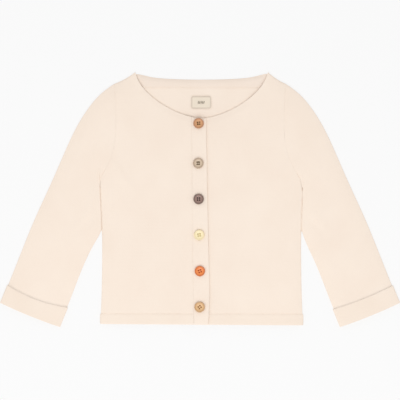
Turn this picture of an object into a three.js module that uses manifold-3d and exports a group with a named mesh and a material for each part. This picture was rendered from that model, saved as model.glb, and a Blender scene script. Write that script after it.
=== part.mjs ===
// Baby cardigan in a fine cotton knit, laid flat on its back with the front side up.
// Units are millimetres. The wearer's left is +X, the neck is towards +Y, and +Z is up.
// The origin is on the surface that the garment lies on, at the middle of its outline.
// Outlines are worked out in half coordinates, where x grows outwards from the centre line,
// and each side's sign turns them into +X or -X.

import * as THREE from 'three';
import { mergeVertices } from 'three/addons/utils/BufferGeometryUtils.js';
import Module from 'manifold-3d';

// Cloth thicknesses, and the gaps between neighbouring pieces
const CLOTH = 1.2;
const BAND = 1.8;
const TRIM = 1;
const GAP = 0.3;
const SIDE_CLEARANCE = 0.45;

// Air under the front layer: its height, and how far from a folded edge it has built up
const AIR = 2.4;
const AIR_RISE = 16;
const NECK_AIR = { share: 0.5, reach: 35 };
const OPEN_END_AIR = { share: 0.6, reach: 40 };

// Neck, shoulder and armhole. The neck opening lies a little to the wearer's left of the sleeves'
// middle, as the body does.
const NECK = { x: 2, y: 153.4, half: 79.6 };
const FRONT_NECK = { drop: 55.8, power: 1.58 };
const BACK_NECK = { drop: 9.1, power: 2.25 };
const SHOULDER = { x: 102.6, y: 139.4, dip: 1.5 };
const ARMHOLE = [
  { x: 112.6, y: 37 },
  { x: 104.2, y: 57 },
  { x: 100.9, y: 78 },
  { x: 100.6, y: 108 },
];
const ARMHOLE_STEPS = { curved: 6, straight: 4, curvedShare: 0.5 };

// Body sides and hem
const WAIST_Y = -60;
const HEM_FLARE = 1.6;
const HEM_STEP = 1.2;
const HEM_SEAM = { y: -136.6, tilt: 0.15 };
const HEM = { y: -149.4, tilt: 0.8 };
const HEM_RAMP = 10;
const SIDES = {
  right: {
    sign: -1, waistX: 117.2, underarmY: 25, underarmFlare: 3.6,
    cuffHeight: { outer: 23, inner: 25.2 }, cuffSeamBow: 4.7,
  },
  left: {
    sign: 1, waistX: 121.2, underarmY: 19, underarmFlare: 2.4,
    cuffHeight: { outer: 22.4, inner: 22.8 }, cuffSeamBow: 2,
  },
};

// Sleeve and cuff, in half coordinates. The sleeve lies against the body down to its elbow fold.
const ELBOW_Y = -38.4;
const SLEEVE_OUTER = [
  { x: 113.2, y: 133.2 },
  { x: 124.9, y: 122.4 },
  { x: 143, y: 97.2 },
  { x: 157.6, y: 68.4 },
  { x: 176.3, y: 25.2 },
  { x: 199.4, y: -25.2 },
  { x: 216.8, y: -68.4 },
];
const SLEEVE_INNER = [
  { x: 125.2, y: -49 },
  { x: 133.8, y: -65.5 },
  { x: 141.6, y: -83 },
  { x: 152.2, y: -111 },
];
const ELBOW_SHARE = 0.62;
const SLEEVE_RINGS = { upper: 8, forearm: 5 };
const CUFF = { outer: { x: 240, y: -123 }, inner: { x: 167.5, y: -152.4 }, step: 1.2, bow: 1.2 };
const CUFF_RINGS = 3;
const CUFF_COLUMNS = [0, 0.08, 0.17, 0.28, 0.42, 0.58, 0.72, 0.83, 0.92, 1];

// Placket: the buttonhole band on the right front, which laps over the left front
const PLACKET = [
  { y: 98, seam: -9.8, edge: 7.4 },
  { y: 20, seam: -9.4, edge: 8.6 },
  { y: -60, seam: -8.6, edge: 10.2 },
  { y: -115, seam: -7.8, edge: 11.8 },
  { y: -150, seam: -7.2, edge: 9.8 },
];
const UNDERLAP = 1.3;
const RISE_WIDTH = 14;

// Back neck facing and label, on the inside of the back
const FACING = { bottomY: 133.8, topEndY: 150.2, inset: 0.6, endClearance: 0.8 };
const LABEL = { x: 1.4, y: 117, width: 24.2, height: 15.3, corner: 2.2 };

// Buttons: four-hole, 20 ligne
const BUTTON = { radius: 6.35, thickness: 2.6, segments: 20 };
const HOLE = { radius: 0.85, offset: 1.35, sides: 8 };
const BUTTONS = [
  { x: -1.7, y: 91.8, colour: '#c8926a' },
  { x: -2.1, y: 44, colour: '#c9b49c' },
  { x: -1.7, y: 1.2, colour: '#94786c' },
  { x: -1, y: -41.8, colour: '#f6e4b4' },
  { x: -0.2, y: -85, colour: '#e6854a' },
  { x: -0.4, y: -128, colour: '#dfb482' },
];

// How finely the outlines are sampled where distances to them are measured
const FINE_STEPS = 48;
const SHOULDER_STEPS = 6;

// Small helpers
const { lerp, clamp, smoothstep } = THREE.MathUtils;

const crown = (s) => 1 - (1 - clamp(s, 0, 1)) ** 2;

// A plan curve given as a function of 0 to 1, which three.js can then space evenly.
class PlanCurve extends THREE.Curve {
  constructor(pointAt) {
    super();
    this.pointAt = pointAt;
  }

  getPoint(t, target = new THREE.Vector2()) {
    const [x, y] = this.pointAt(t);
    return target.set(x, y);
  }
}

function spline(points) {
  return new THREE.SplineCurve(points.map(({ x, y }) => new THREE.Vector2(x, y)));
}

function lengths(line) {
  const out = [0];
  for (let k = 1; k < line.length; k++) out.push(out[k - 1] + line[k].distanceTo(line[k - 1]));
  return out;
}

// The point at a distance along a polyline.
function along(line, distance) {
  const reach = lengths(line);
  const last = line.length - 1;
  let k = 1;
  while (k < last && reach[k] < distance) k++;
  const share = (distance - reach[k - 1]) / (reach[k] - reach[k - 1]);
  return line[k - 1].clone().lerp(line[k], share);
}

function distanceTo(line, x, y) {
  let best = Infinity;
  for (let k = 1; k < line.length; k++) {
    const a = line[k - 1];
    const b = line[k];
    const dx = b.x - a.x;
    const dy = b.y - a.y;
    const t = clamp(((x - a.x) * dx + (y - a.y) * dy) / (dx * dx + dy * dy || 1), 0, 1);
    best = Math.min(best, Math.hypot(x - a.x - t * dx, y - a.y - t * dy));
  }
  return best;
}

// A polyline moved sideways; positive moves it to the left of its direction.
function offset(line, distance) {
  return line.map((point, k) => {
    const ahead = line[Math.min(k + 1, line.length - 1)];
    const behind = line[Math.max(k - 1, 0)];
    const direction = ahead.clone().sub(behind).normalize();
    return new THREE.Vector2(point.x - direction.y * distance, point.y + direction.x * distance);
  });
}

// Reads a column of a table whose rows run from high y to low y.
function tabled(table, column, y) {
  if (y >= table[0].y) return table[0][column];
  for (let k = 1; k < table.length; k++) {
    if (y >= table[k].y) {
      const share = (table[k - 1].y - y) / (table[k - 1].y - table[k].y);
      return lerp(table[k - 1][column], table[k][column], share);
    }
  }
  return table[table.length - 1][column];
}

// Outlines. The necklines are superellipses over the neck opening's width.
const neckY = (line, worldX) => {
  const share = Math.min(1, Math.abs(worldX - NECK.x) / NECK.half);
  return NECK.y - line.drop * (1 - share ** line.power) ** (1 / line.power);
};
const frontNeckY = (worldX) => neckY(FRONT_NECK, worldX);
const backNeckY = (worldX) => neckY(BACK_NECK, worldX);
const neckPointX = (side) => NECK.half + side.sign * NECK.x;

function frontNeckHalfWidth(y) {
  const depth = clamp((NECK.y - y) / FRONT_NECK.drop, 0, 1);
  return NECK.half * (1 - depth ** FRONT_NECK.power) ** (1 / FRONT_NECK.power);
}

function shoulderY(side, x) {
  const share = clamp((x - neckPointX(side)) / (SHOULDER.x - neckPointX(side)), 0, 1);
  return lerp(NECK.y, SHOULDER.y, share) - 4 * SHOULDER.dip * share * (1 - share);
}

// The front neckline in half coordinates, from a start x near the centre out to the neck point.
function frontNeckline(side, startX) {
  const centre = side.sign * NECK.x;
  const start = startX - centre;
  const startAngle = Math.sign(start) * Math.asin((Math.abs(start) / NECK.half) ** (FRONT_NECK.power / 2));
  return new PlanCurve((t) => {
    const angle = lerp(startAngle, Math.PI / 2, t);
    const x = centre + Math.sign(angle) * NECK.half * Math.abs(Math.sin(angle)) ** (2 / FRONT_NECK.power);
    return [x, frontNeckY(side.sign * x)];
  });
}

function sideX(side, y) {
  const above = (y - WAIST_Y) / (side.underarmY - WAIST_Y);
  const below = (WAIST_Y - y) / (WAIST_Y - HEM_SEAM.y);
  return side.waistX + (y > WAIST_Y ? side.underarmFlare * above ** 2 : HEM_FLARE * below ** 2);
}

// Heights of the hem seam and of the bottom edge, which tilt a little across the garment.
const hemLineY = (line, worldX) => line.y - (line.tilt * worldX) / SIDES.left.waistX;

// Each side's shared lines, in half coordinates
const neckLine = new PlanCurve((t) => {
  const x = lerp(NECK.x - NECK.half, NECK.x + NECK.half, t);
  return [x, frontNeckY(x)];
}).getPoints(FINE_STEPS);

const cuffAcross = new THREE.Vector2(CUFF.outer.x - CUFF.inner.x, CUFF.outer.y - CUFF.inner.y).normalize();
const cuffUp = new THREE.Vector2(-cuffAcross.y, cuffAcross.x);
const cuffCorner = (corner, height, inset) =>
  new THREE.Vector2(corner.x, corner.y).addScaledVector(cuffUp, height).addScaledVector(cuffAcross, inset);

function cutSide(side) {
  const underarm = { x: sideX(side, side.underarmY), y: side.underarmY };
  const armholeCurve = spline([underarm, ...ARMHOLE, SHOULDER]);
  const { curved, straight, curvedShare } = ARMHOLE_STEPS;
  const shares = [];
  for (let k = 0; k < curved; k++) shares.push((curvedShare * k) / curved);
  for (let k = 0; k <= straight; k++) shares.push(curvedShare + ((1 - curvedShare) * k) / straight);
  side.armhole = shares.map((share) => armholeCurve.getPointAt(share));
  side.sideFold = new PlanCurve((t) => {
    const y = lerp(side.underarmY, HEM.y, t);
    return [sideX(side, y), y];
  }).getPoints(FINE_STEPS);

  const seamOuter = cuffCorner(CUFF.outer, side.cuffHeight.outer + GAP, -CUFF.step);
  const seamInner = cuffCorner(CUFF.inner, side.cuffHeight.inner + GAP, CUFF.step);
  side.sleeveOuter = spline([SHOULDER, ...SLEEVE_OUTER, seamOuter]);
  const elbow = { x: sideX(side, ELBOW_Y) + SIDE_CLEARANCE, y: ELBOW_Y };
  side.forearmInner = spline([elbow, ...SLEEVE_INNER, seamInner]);
  side.upperInner = new PlanCurve((t) => {
    const y = lerp(side.underarmY, ELBOW_Y, t);
    return [sideX(side, y) + SIDE_CLEARANCE, y];
  });
  const shoulderLine = new PlanCurve((t) => {
    const x = lerp(neckPointX(side), SHOULDER.x, t);
    return [x, shoulderY(side, x)];
  }).getPoints(SHOULDER_STEPS);
  side.outerFold = [...shoulderLine, ...side.sleeveOuter.getSpacedPoints(FINE_STEPS)];
  side.sleeveInnerFold = [
    ...side.upperInner.getPoints(FINE_STEPS),
    ...side.forearmInner.getSpacedPoints(FINE_STEPS),
  ];
}
Object.values(SIDES).forEach(cutSide);

// Heights of the layers
const foldRadius = (thickness) => thickness + GAP / 2;

function airAt(side, x, y, innerFold, openEndDistance) {
  const radius = foldRadius(CLOTH);
  const fromOuter = crown((distanceTo(side.outerFold, x, y) - radius) / AIR_RISE);
  const fromInner = crown((distanceTo(innerFold, x, y) - radius) / AIR_RISE);
  const neck = smoothstep(distanceTo(neckLine, side.sign * x, y), 0, NECK_AIR.reach);
  const end = smoothstep(openEndDistance, 0, OPEN_END_AIR.reach);
  const settled = lerp(NECK_AIR.share, 1, neck) * lerp(OPEN_END_AIR.share, 1, end);
  return AIR * fromOuter * fromInner * settled;
}

const bodyAir = (side, x, y) => airAt(side, x, y, side.sideFold, y - HEM.y);

// 0 above the hem seam, and 1 at it, where the doubled bands make the layers thicker.
function nearHem(worldX, y, ramp) {
  const seamY = hemLineY(HEM_SEAM, worldX);
  return 1 - smoothstep(y, seamY, seamY + ramp);
}

const frontBottom = (side, x, y) =>
  lerp(CLOTH, BAND, nearHem(side.sign * x, y, HEM_RAMP)) + GAP + bodyAir(side, x, y);

// What the placket lies on: the left front, or its hem band near the bottom.
const underPlacket = (worldX, y) => lerp(CLOTH, BAND, nearHem(worldX, y, HEM_RAMP / 2)) + GAP;

const placketBottom = (worldX, y) => frontBottom(SIDES.left, worldX, y) + underPlacket(worldX, y);

function rightFrontBottom(x, y) {
  const fromSeam = x + tabled(PLACKET, 'seam', y);
  const rise = 1 - smoothstep(fromSeam, 0, RISE_WIDTH);
  return frontBottom(SIDES.right, x, y) + underPlacket(-x, y) * rise;
}

// How the edge of a sheet is finished: how far its top, middle and bottom points lie inside
// the outline, and the height of the middle point.
const QUARTER = Math.SQRT1_2;
const EDGES = {
  butt: (bottom, top) => ({ top: 0, middle: 0, bottom: 0, height: (bottom + top) / 2 }),
  free: (bottom, top) => ({
    top: (top - bottom) / 3,
    middle: 0,
    bottom: (top - bottom) / 3,
    height: (bottom + top) / 2,
  }),
  over: (bottom, top) => {
    const radius = foldRadius(top - bottom);
    const height = bottom - GAP / 2 + radius * QUARTER;
    return { top: radius, middle: radius * (1 - QUARTER), bottom: 0, height };
  },
  under: (bottom, top) => {
    const radius = foldRadius(top - bottom);
    const height = top + GAP / 2 - radius * QUARTER;
    return { top: 0, middle: radius * (1 - QUARTER), bottom: radius, height };
  },
};

function solid(positions, faces) {
  const geometry = new THREE.BufferGeometry();
  const place = (index) => positions[index];
  let volume = 0;
  for (const [a, b, c] of faces) {
    volume += place(a).clone().cross(place(b)).dot(place(c));
  }
  const facing = volume > 0 ? faces : faces.map(([a, b, c]) => [a, c, b]);
  const numbers = positions.flatMap((position) => position.toArray());
  geometry.setAttribute('position', new THREE.Float32BufferAttribute(numbers, 3));
  geometry.setIndex(facing.flat());
  geometry.computeVertexNormals();
  return geometry;
}

// A wall of cloth over a grid of plan points. bottom and top give its heights in the same
// coordinates, and edges names the finish of the first row, last row, first and last column.
function sheet({ rows, bottom, top, edges, sign = 1 }) {
  const lastRow = rows.length - 1;
  const lastColumn = rows[0].length - 1;
  const edgeOf = (name, i, j) => (typeof name === 'function' ? name(i, j) : name);
  const towards = (from, to) => to.clone().sub(from).normalize();

  // The finishes that meet at a grid point, each with its inward direction.
  function finishes(i, j) {
    const here = rows[i][j];
    const found = [];
    const meet = (name, inside) => found.push([edgeOf(name, i, j), towards(here, inside)]);
    if (i === 0) meet(edges.firstRow, rows[1][j]);
    if (i === lastRow) meet(edges.lastRow, rows[lastRow - 1][j]);
    if (j === 0) meet(edges.firstColumn, rows[i][1]);
    if (j === lastColumn) meet(edges.lastColumn, rows[i][lastColumn - 1]);
    return found;
  }

  const positions = [];
  const add = (point, z) => positions.push(new THREE.Vector3(sign * point.x, point.y, z)) - 1;
  const tops = [];
  const bottoms = [];
  const middles = new Map();
  for (let i = 0; i <= lastRow; i++) {
    tops.push([]);
    bottoms.push([]);
    for (let j = 0; j <= lastColumn; j++) {
      const here = rows[i][j];
      const low = bottom(here.x, here.y);
      const high = top(here.x, here.y);
      const upper = here.clone();
      const lower = here.clone();
      const middle = here.clone();
      const found = finishes(i, j);
      let height = 0;
      for (const [name, inward] of found) {
        const finish = EDGES[name](low, high);
        upper.addScaledVector(inward, finish.top);
        lower.addScaledVector(inward, finish.bottom);
        middle.addScaledVector(inward, finish.middle);
        height += finish.height / found.length;
      }
      tops[i].push(add(upper, top(upper.x, upper.y)));
      bottoms[i].push(add(lower, bottom(lower.x, lower.y)));
      if (found.length) middles.set(`${i} ${j}`, add(middle, height));
    }
  }

  const faces = [];
  const quad = (a, b, c, d) => faces.push([a, b, c], [a, c, d]);
  for (let i = 0; i < lastRow; i++) {
    for (let j = 0; j < lastColumn; j++) {
      quad(tops[i][j], tops[i][j + 1], tops[i + 1][j + 1], tops[i + 1][j]);
      quad(bottoms[i][j], bottoms[i + 1][j], bottoms[i + 1][j + 1], bottoms[i][j + 1]);
    }
  }
  const rim = [];
  for (let j = 0; j < lastColumn; j++) rim.push([0, j]);
  for (let i = 0; i < lastRow; i++) rim.push([i, lastColumn]);
  for (let j = lastColumn; j > 0; j--) rim.push([lastRow, j]);
  for (let i = lastRow; i > 0; i--) rim.push([i, 0]);
  rim.forEach(([i, j], k) => {
    const [ni, nj] = rim[(k + 1) % rim.length];
    const here = middles.get(`${i} ${j}`);
    const next = middles.get(`${ni} ${nj}`);
    quad(here, next, tops[ni][nj], tops[i][j]);
    quad(bottoms[i][j], bottoms[ni][nj], next, here);
  });
  return solid(positions, faces);
}

// A tube of cloth pressed flat. Each station is a plan line from its inner to its outer fold,
// and air(x, y) lifts its upper wall.
function flatTube({ stations, thickness, air, sign }) {
  const radius = foldRadius(thickness);
  const positions = [];
  const add = (point, z) => positions.push(new THREE.Vector3(sign * point.x, point.y, z)) - 1;

  // One loop round a station, at a depth below the tube's surface.
  function loop(line, depth) {
    const bend = radius - depth;
    const total = lengths(line)[line.length - 1];
    const innerEnd = (angle) => along(line, radius - bend * Math.cos(angle));
    const outerEnd = (angle) => along(line, total - radius + bend * Math.cos(angle));
    const between = line.slice(1, -1);
    const under = (point, drop) => add(point, radius - drop);
    const over = (point, rise) => add(point, radius + rise + air(point.x, point.y));
    const turns = [Math.PI / 4, Math.PI / 2];
    const turnsBack = [...turns].reverse();
    return [
      under(innerEnd(0), 0),
      ...turns.map((angle) => under(innerEnd(angle), bend * Math.sin(angle))),
      ...between.map((point) => under(point, bend)),
      ...turnsBack.map((angle) => under(outerEnd(angle), bend * Math.sin(angle))),
      under(outerEnd(0), 0),
      ...turns.map((angle) => over(outerEnd(angle), bend * Math.sin(angle))),
      ...[...between].reverse().map((point) => over(point, bend)),
      ...turnsBack.map((angle) => over(innerEnd(angle), bend * Math.sin(angle))),
    ];
  }

  const outer = stations.map((line) => loop(line, 0));
  const inner = stations.map((line) => loop(line, thickness));
  const faces = [];
  const quad = (a, b, c, d) => faces.push([a, b, c], [a, c, d]);
  const count = outer[0].length;
  const last = stations.length - 1;
  for (let k = 0; k < count; k++) {
    const n = (k + 1) % count;
    for (let s = 0; s < last; s++) {
      quad(outer[s][k], outer[s + 1][k], outer[s + 1][n], outer[s][n]);
      quad(inner[s][k], inner[s][n], inner[s + 1][n], inner[s + 1][k]);
    }
    quad(outer[0][k], outer[0][n], inner[0][n], inner[0][k]);
    quad(outer[last][k], inner[last][k], inner[last][n], outer[last][n]);
  }
  return solid(positions, faces);
}

// Materials
const matte = (color, roughness) => new THREE.MeshStandardMaterial({ color, roughness, metalness: 0 });
const FABRIC_ROUGHNESS = 0.95;
const BUTTON_ROUGHNESS = 0.45;
const KNIT = '#f8e8d9';
const BAND_KNIT = '#f4e3d2';
const FACING_KNIT = '#f0e0d0';
const LABEL_CLOTH = '#e6dbc9';

const cardigan = new THREE.Group();

function piece(name, geometry, colour, roughness = FABRIC_ROUGHNESS) {
  const mesh = new THREE.Mesh(geometry, matte(colour, roughness));
  mesh.name = name;
  cardigan.add(mesh);
  return mesh;
}

// Plan grids of the panels
const BODY_ROWS = 8;
const NECK_ROWS = 10;
const FRONT_COLUMNS = [0, 0.045, 0.1, 0.17, 0.3, 0.48, 0.66, 0.8, 0.88, 0.94, 1];
const BACK_SHOULDER_COLUMNS = [0, 0.3, 0.65];
const BACK_NECK_COLUMNS = 9;
const BACK_TOP_ROWS = 4;

// The armhole point that is level with the bottom of the front neckline
const NECK_ROW_START = ARMHOLE_STEPS.curved + 1;

function frontRows(side, innerX) {
  const reach = lengths(side.armhole);
  const total = reach[reach.length - 1];
  const ends = [];
  for (let k = 0; k < BODY_ROWS; k++) {
    const share = k / BODY_ROWS;
    const rowY = (x) => lerp(hemLineY(HEM_SEAM, side.sign * x) + GAP / 2, side.underarmY, share);
    const outerX = sideX(side, rowY(side.waistX));
    const inside = innerX(rowY(0));
    ends.push([new THREE.Vector2(inside, rowY(inside)), new THREE.Vector2(outerX, rowY(outerX))]);
  }
  const cornerX = innerX(NECK.y);
  const corner = new THREE.Vector2(cornerX, frontNeckY(side.sign * cornerX));
  for (let k = 0; k < NECK_ROW_START; k++) {
    const y = lerp(side.underarmY, corner.y, k / NECK_ROW_START);
    ends.push([new THREE.Vector2(innerX(y), y), side.armhole[k]]);
  }
  frontNeckline(side, cornerX).getSpacedPoints(NECK_ROWS).forEach((point, k) => {
    const distance = lerp(reach[NECK_ROW_START], total, k / NECK_ROWS);
    ends.push([point, along(side.armhole, distance)]);
  });
  const shoulder = ends.length - 1;
  return ends.map(([inner, outer], i) =>
    FRONT_COLUMNS.map((share) => {
      const point = outer.clone().lerp(inner, share);
      if (i === shoulder) point.y = shoulderY(side, point.x);
      return point;
    }),
  );
}

function front(name, side, innerX, bottom, innerEdge) {
  const rows = frontRows(side, innerX);
  const edges = {
    firstRow: 'butt',
    lastRow: 'over',
    firstColumn: (i) => (i <= BODY_ROWS ? 'over' : 'butt'),
    lastColumn: (i) => (i < BODY_ROWS + NECK_ROW_START ? innerEdge : 'free'),
  };
  const top = (x, y) => bottom(x, y) + CLOTH;
  piece(name, sheet({ rows, bottom, top, edges, sign: side.sign }), KNIT);
}

// Shares of the back's width: along one shoulder, across the neck, and down the other shoulder.
function backColumns() {
  const shareOf = (worldX) => 0.5 + worldX / (2 * SHOULDER.x);
  const neckStart = shareOf(-neckPointX(SIDES.right));
  const neckEnd = shareOf(neckPointX(SIDES.left));
  const neckShares = Array.from({ length: BACK_NECK_COLUMNS + 1 }, (_, k) => k / BACK_NECK_COLUMNS);
  const neck = neckShares.map((share) => lerp(neckStart, neckEnd, share));
  const first = BACK_SHOULDER_COLUMNS.map((share) => neckStart * share);
  const last = BACK_SHOULDER_COLUMNS.map((share) => 1 - (1 - neckEnd) * share).reverse();
  return [...first, ...neck, ...last];
}

function backPanel() {
  const { left, right } = SIDES;
  const boundary = (side) => {
    const points = [];
    for (let k = 0; k < BODY_ROWS; k++) {
      const seamY = hemLineY(HEM_SEAM, side.sign * side.waistX) + GAP / 2;
      const y = lerp(seamY, side.underarmY, k / BODY_ROWS);
      points.push(new THREE.Vector2(side.sign * sideX(side, y), y));
    }
    side.armhole.forEach((point) => points.push(new THREE.Vector2(side.sign * point.x, point.y)));
    return points;
  };
  const ends = boundary(left).map((point, i) => [boundary(right)[i], point]);
  const onNeck = (x) => Math.abs(x - NECK.x) < NECK.half - GAP;
  const topY = (x) => (onNeck(x) ? backNeckY(x) : shoulderY(x < 0 ? right : left, Math.abs(x)));
  const columns = backColumns();
  const lastRow = ends.length - 1;
  const rows = ends.map(([from, to], i) =>
    columns.map((share) => {
      const point = from.clone().lerp(to, share);
      const bend = clamp((i - (lastRow - BACK_TOP_ROWS)) / BACK_TOP_ROWS, 0, 1);
      point.y += (topY(lerp(-SHOULDER.x, SHOULDER.x, share)) - SHOULDER.y) * bend * bend;
      return point;
    }),
  );
  const isFold = (i) => (i <= BODY_ROWS ? 'under' : 'butt');
  const topFinish = (i, j) => (onNeck(rows[i][j].x) ? 'free' : 'under');
  const edges = { firstRow: 'butt', lastRow: topFinish, firstColumn: isFold, lastColumn: isFold };
  piece('back_panel', sheet({ rows, bottom: () => 0, top: () => CLOTH, edges }), KNIT);
}

// Hem bands: doubled cloth, a little wider than the body at each side fold
const BAND_ROWS = [0, 0.5, 1];

function bandRows(fromX, toX, columns) {
  return BAND_ROWS.map((share) =>
    columns.map((column) => {
      const x = lerp(fromX, toX, column);
      const bottomY = hemLineY(HEM, x);
      return new THREE.Vector2(x, lerp(bottomY, hemLineY(HEM_SEAM, x) - GAP / 2, share));
    }),
  );
}

const bandEndX = (side) => side.sign * (sideX(side, HEM_SEAM.y) + HEM_STEP);

function hemBands() {
  const { left, right } = SIDES;
  const under = { firstRow: 'free', lastRow: 'butt', firstColumn: 'under', lastColumn: 'under' };
  const backRows = bandRows(bandEndX(right), bandEndX(left), backColumns());
  const back = sheet({ rows: backRows, bottom: () => 0, top: () => BAND, edges: under });
  piece('hem_band_back', back, BAND_KNIT);

  const frontBand = (name, side, insideX, bottom, innerEdge) => {
    const rows = bandRows(bandEndX(side), insideX, FRONT_COLUMNS);
    const edges = { firstRow: 'free', lastRow: 'butt', firstColumn: 'over', lastColumn: innerEdge };
    const top = (x, y) => bottom(x, y) + BAND;
    piece(name, sheet({ rows, bottom, top, edges }), BAND_KNIT);
  };
  const seamX = tabled(PLACKET, 'seam', HEM.y);
  frontBand('hem_band_front_right', right, seamX - GAP, (x, y) => rightFrontBottom(-x, y), 'butt');
  frontBand('hem_band_front_left', left, seamX + UNDERLAP, (x, y) => frontBottom(left, x, y), 'free');
}

// Placket from the hem up to the neckline
const PLACKET_ROWS = [0, 0.025, 0.055, 0.09, 0.17, 0.27, 0.37, 0.47, 0.57, 0.67, 0.77, 0.86, 0.94, 0.985, 1];
const PLACKET_COLUMNS = [0, 0.2, 0.4, 0.6, 0.8, 1];

function placket() {
  const rows = PLACKET_ROWS.map((height) => {
    const rowY = lerp(HEM.y, frontNeckY(0), height);
    return PLACKET_COLUMNS.map((share) => {
      const x = lerp(tabled(PLACKET, 'seam', rowY), tabled(PLACKET, 'edge', rowY), share);
      return new THREE.Vector2(x, lerp(hemLineY(HEM, x), frontNeckY(x), height));
    });
  });
  const edges = { firstRow: 'free', lastRow: 'free', firstColumn: 'butt', lastColumn: 'free' };
  const top = (x, y) => placketBottom(x, y) + BAND;
  piece('placket_right', sheet({ rows, bottom: placketBottom, top, edges }), KNIT);
}

// Sleeve rings fan out from the armhole to the elbow and then run square to the forearm
function sleeve(name, side) {
  const armhole = offset(side.armhole, -SIDE_CLEARANCE);
  armhole[0].x = side.upperInner.getPoint(0).x;
  const reach = lengths(armhole);
  const shares = reach.map((distance) => distance / reach[reach.length - 1]);
  const stations = [armhole];
  const addRing = (inner, outer) => stations.push(shares.map((share) => inner.clone().lerp(outer, share)));
  for (let k = 1; k < SLEEVE_RINGS.upper; k++) {
    const t = k / SLEEVE_RINGS.upper;
    addRing(side.upperInner.getPoint(t), side.sleeveOuter.getPointAt(ELBOW_SHARE * t));
  }
  for (let k = 0; k <= SLEEVE_RINGS.forearm; k++) {
    const t = k / SLEEVE_RINGS.forearm;
    addRing(side.forearmInner.getPointAt(t), side.sleeveOuter.getPointAt(lerp(ELBOW_SHARE, 1, t)));
  }
  const seamRing = stations.length - 1;
  stations[seamRing] = bowed(stations[seamRing], side.cuffSeamBow);
  const cuffTop = Math.max(side.cuffHeight.inner, side.cuffHeight.outer);
  const air = (x, y) => {
    const fromCuff = cuffUp.dot(new THREE.Vector2(x - CUFF.inner.x, y - CUFF.inner.y));
    const lifted = airAt(side, x, y, side.sleeveInnerFold, fromCuff);
    const nearCuff = 1 - smoothstep(fromCuff, cuffTop, cuffTop + HEM_RAMP);
    return lifted + ((BAND - CLOTH) * nearCuff * lifted) / AIR;
  };
  piece(name, flatTube({ stations, thickness: CLOTH, air, sign: side.sign }), KNIT);
}

// A line across the sleeve, bowed towards the hand by a depth at its middle.
function bowed(line, depth) {
  const last = line.length - 1;
  const width = line[last].distanceTo(line[0]);
  return line.map((point) => {
    const share = point.distanceTo(line[0]) / width;
    return point.clone().addScaledVector(cuffUp, -4 * depth * share * (1 - share));
  });
}

function cuff(name, side) {
  const stations = [];
  for (let k = 0; k <= CUFF_RINGS; k++) {
    const drop = k / CUFF_RINGS;
    const inner = cuffCorner(CUFF.inner, side.cuffHeight.inner * (1 - drop), 0);
    const outer = cuffCorner(CUFF.outer, side.cuffHeight.outer * (1 - drop), 0);
    const line = CUFF_COLUMNS.map((share) => inner.clone().lerp(outer, share));
    stations.push(bowed(line, lerp(side.cuffSeamBow, CUFF.bow, drop)));
  }
  const width = Math.hypot(CUFF.outer.x - CUFF.inner.x, CUFF.outer.y - CUFF.inner.y);
  const air = (x, y) => {
    const across = cuffAcross.dot(new THREE.Vector2(x - CUFF.inner.x, y - CUFF.inner.y));
    const fromFold = Math.min(across, width - across) - foldRadius(BAND);
    return AIR * OPEN_END_AIR.share * crown(fromFold / AIR_RISE);
  };
  piece(name, flatTube({ stations, thickness: BAND, air, sign: side.sign }), BAND_KNIT);
}

// Back neck facing: a strip of the same cloth on the inside of the back, under the neck edge
const FACING_ROWS = [0, 0.33, 0.67, 1];
const FACING_COLUMNS = [0, 0.08, 0.17, 0.3, 0.43, 0.57, 0.7, 0.83, 0.92, 1];

function backNeckFacing() {
  const rows = FACING_ROWS.map((share) => {
    const half = frontNeckHalfWidth(lerp(FACING.bottomY, FACING.topEndY, share)) - FACING.endClearance;
    return FACING_COLUMNS.map((column) => {
      const x = lerp(NECK.x - half, NECK.x + half, column);
      return new THREE.Vector2(x, lerp(FACING.bottomY, backNeckY(x) - FACING.inset, share));
    });
  });
  const edges = { firstRow: 'free', lastRow: 'free', firstColumn: 'butt', lastColumn: 'butt' };
  const bottom = () => CLOTH + GAP;
  const top = () => CLOTH + GAP + TRIM;
  piece('back_neck_facing', sheet({ rows, bottom, top, edges }), FACING_KNIT);
}

// Plain woven label with rounded corners
function label() {
  const { x, y, width, height, corner } = LABEL;
  const halfWidth = width / 2;
  const halfHeight = height / 2;
  const shape = new THREE.Shape();
  shape.absarc(halfWidth - corner, halfHeight - corner, corner, 0, Math.PI / 2);
  shape.absarc(corner - halfWidth, halfHeight - corner, corner, Math.PI / 2, Math.PI);
  shape.absarc(corner - halfWidth, corner - halfHeight, corner, Math.PI, 1.5 * Math.PI);
  shape.absarc(halfWidth - corner, corner - halfHeight, corner, 1.5 * Math.PI, 2 * Math.PI);
  const geometry = new THREE.ExtrudeGeometry(shape, { depth: TRIM, bevelEnabled: false, curveSegments: 3 });
  const mesh = piece('label', geometry, LABEL_CLOTH);
  mesh.position.set(x, y, CLOTH + GAP);
}

// Buttons: a raised rim round a dished middle with four thread holes
const BUTTON_PROFILE = [
  { r: 0, z: 0 },
  { r: 0.7, z: 0 },
  { r: 0.93, z: 0.18 },
  { r: 1, z: 0.48 },
  { r: 0.97, z: 0.78 },
  { r: 0.89, z: 1 },
  { r: 0.78, z: 0.97 },
  { r: 0.64, z: 0.68 },
  { r: 0.5, z: 0.6 },
  { r: 0, z: 0.6 },
];

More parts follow.
